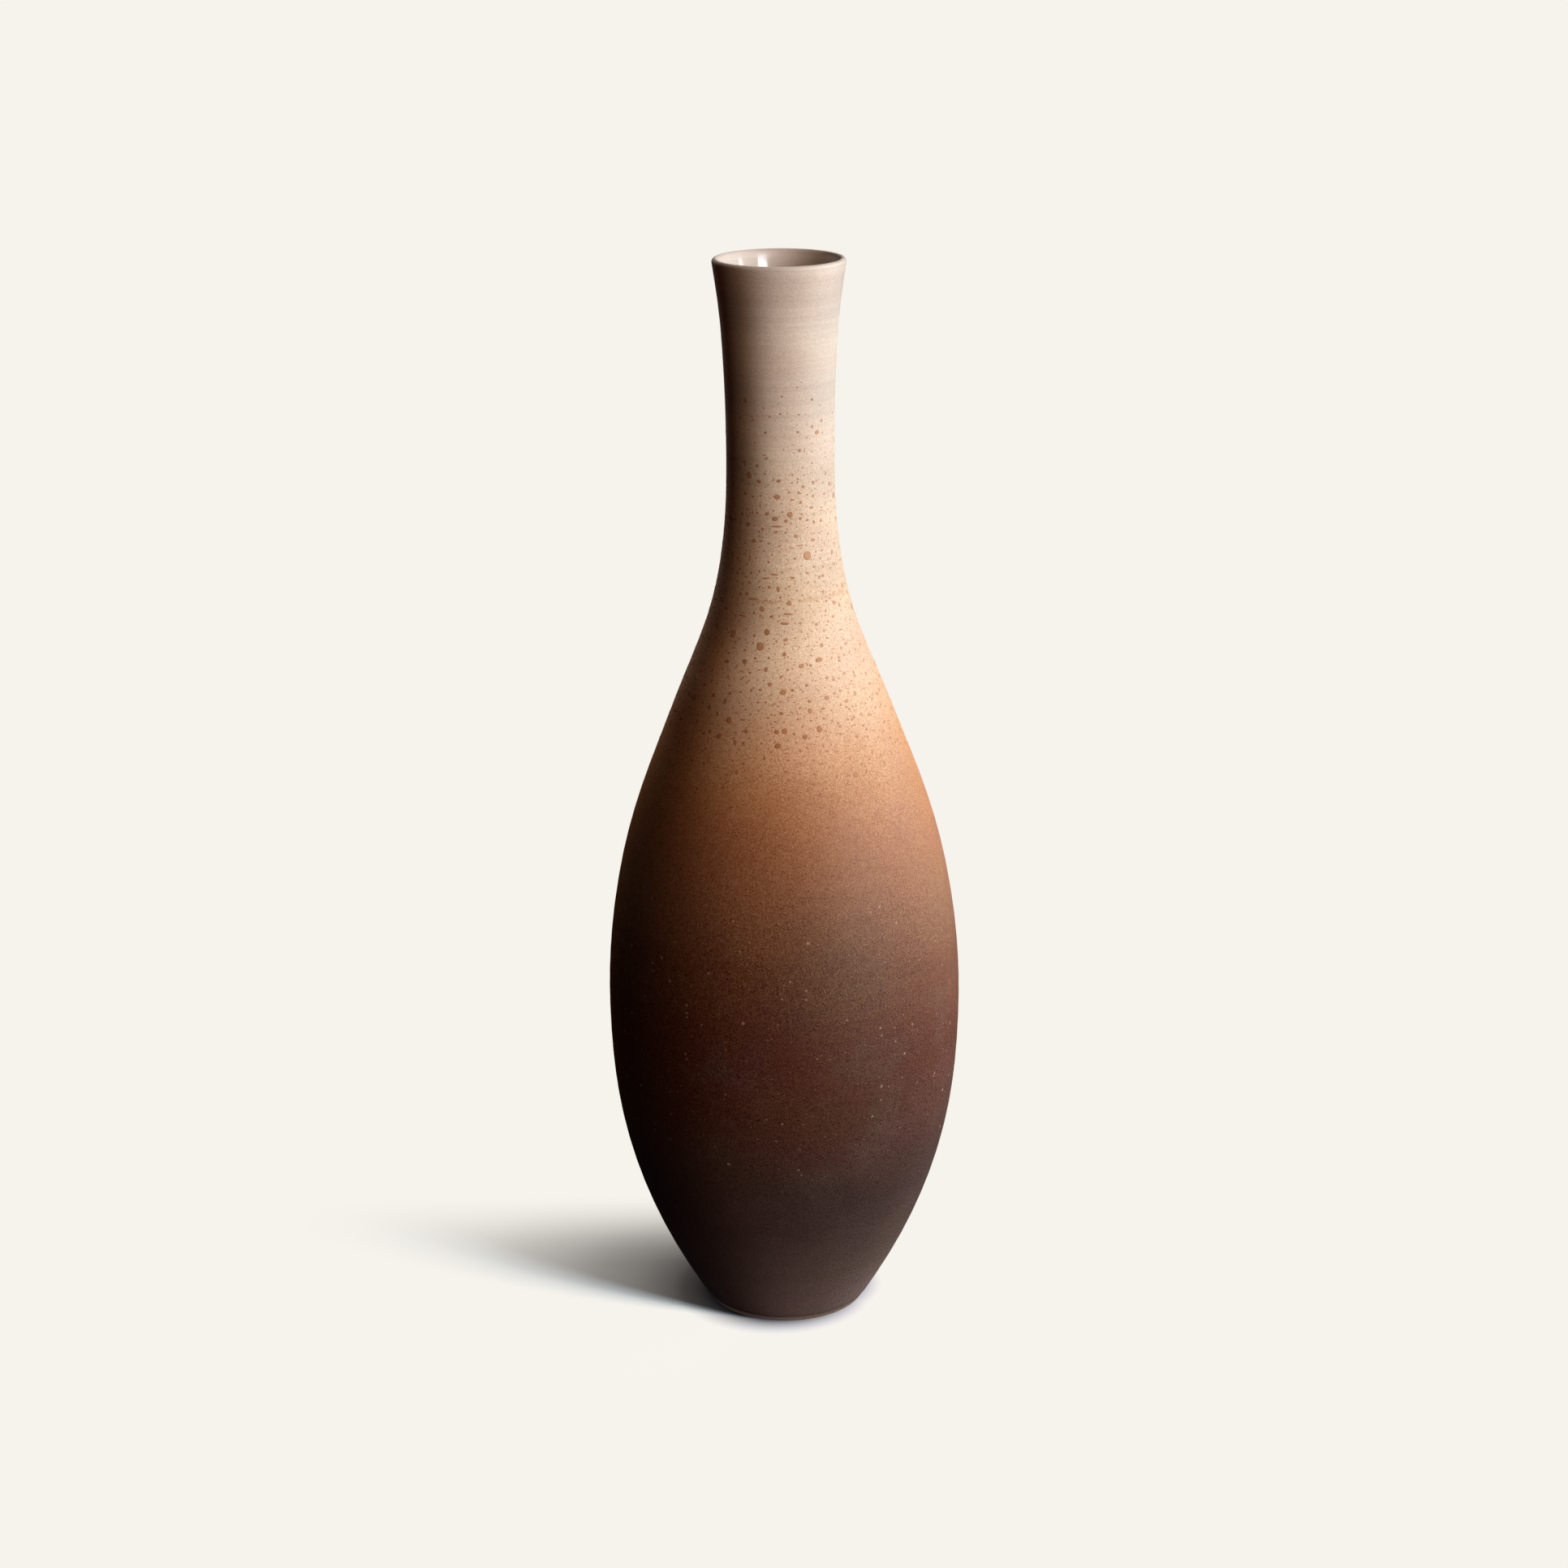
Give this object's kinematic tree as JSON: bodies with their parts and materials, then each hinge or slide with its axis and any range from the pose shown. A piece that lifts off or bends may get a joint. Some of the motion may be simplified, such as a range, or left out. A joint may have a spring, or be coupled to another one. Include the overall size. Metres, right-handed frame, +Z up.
{
  "type": "stoneware bottle vase",
  "caption": "Tall wheel-thrown stoneware bottle vase with a long ovoid body, narrow flared neck and turned foot ring, glazed inside to hold water and stems.",
  "frame": {"origin": "on the throwing axis, in the plane the foot ring stands on", "axes": "+Z up along the throwing axis from the foot to the lip; +X and +Y are interchangeable because the form is round"},
  "size_m": [0.1316, 0.1316, 0.4],
  "materials": {
    "dark_stoneware": "bare fired stoneware, dry matt, fine grog",
    "joining_slip": "fired joining slip, dry matt",
    "liner_glaze": "glossy pale transparent glaze over buff slip",
    "outer_slip": "smooth eggshell-matt sprayed slip, pale pinkish buff at the neck through speckled cream and orange tan to near-black brown at the foot"
  },
  "bodies": {
    "root": {"lower_body_section": "dark_stoneware", "shoulder_section": "dark_stoneware", "neck_section": "dark_stoneware", "belly_joint_slip": "joining_slip", "neck_joint_slip": "joining_slip", "liner_glaze": "liner_glaze", "outer_slip_coat": "outer_slip"}
  },
  "joints": []
}
